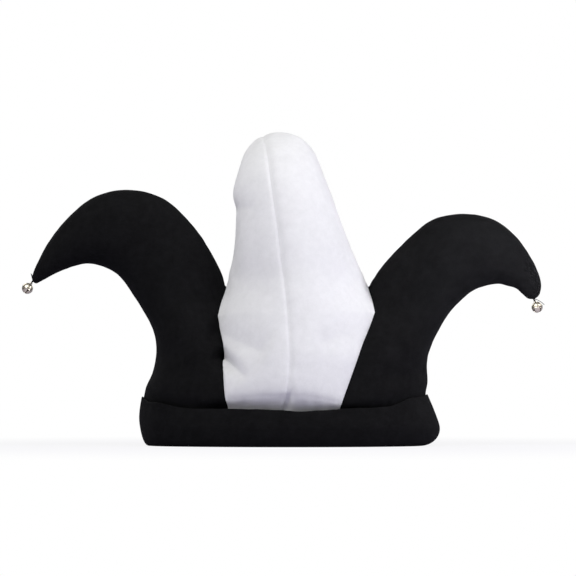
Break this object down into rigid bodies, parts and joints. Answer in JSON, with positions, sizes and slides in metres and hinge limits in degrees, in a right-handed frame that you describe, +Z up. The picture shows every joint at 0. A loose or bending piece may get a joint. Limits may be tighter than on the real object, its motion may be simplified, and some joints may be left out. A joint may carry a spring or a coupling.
{
  "type": "clown hat",
  "caption": "Soft felt clown hat with curved black horns at the sides, a white peak in the middle that bends backward, a turned-up black cuff and small jingle bells at the horn ends",
  "frame": {"origin": "middle of the outline seen from above, on the plane that the fold of the cuff stands on", "axes": "+Z up, the front of the hat faces -Y, and +X is the viewer's right seen from the front"},
  "size_m": [0.4428, 0.1602, 0.269],
  "materials": {
    "black_felt": "matte felt",
    "white_felt": "matte felt",
    "bell_metal": "pale nickel plate"
  },
  "bodies": {
    "root": {"cuff": "black_felt", "left_horn_front": "black_felt", "left_horn_back": "black_felt", "right_horn_front": "black_felt", "right_horn_back": "black_felt", "peak_left": "white_felt", "peak_right": "white_felt", "left_bell": "bell_metal", "right_bell": "bell_metal"}
  },
  "joints": []
}
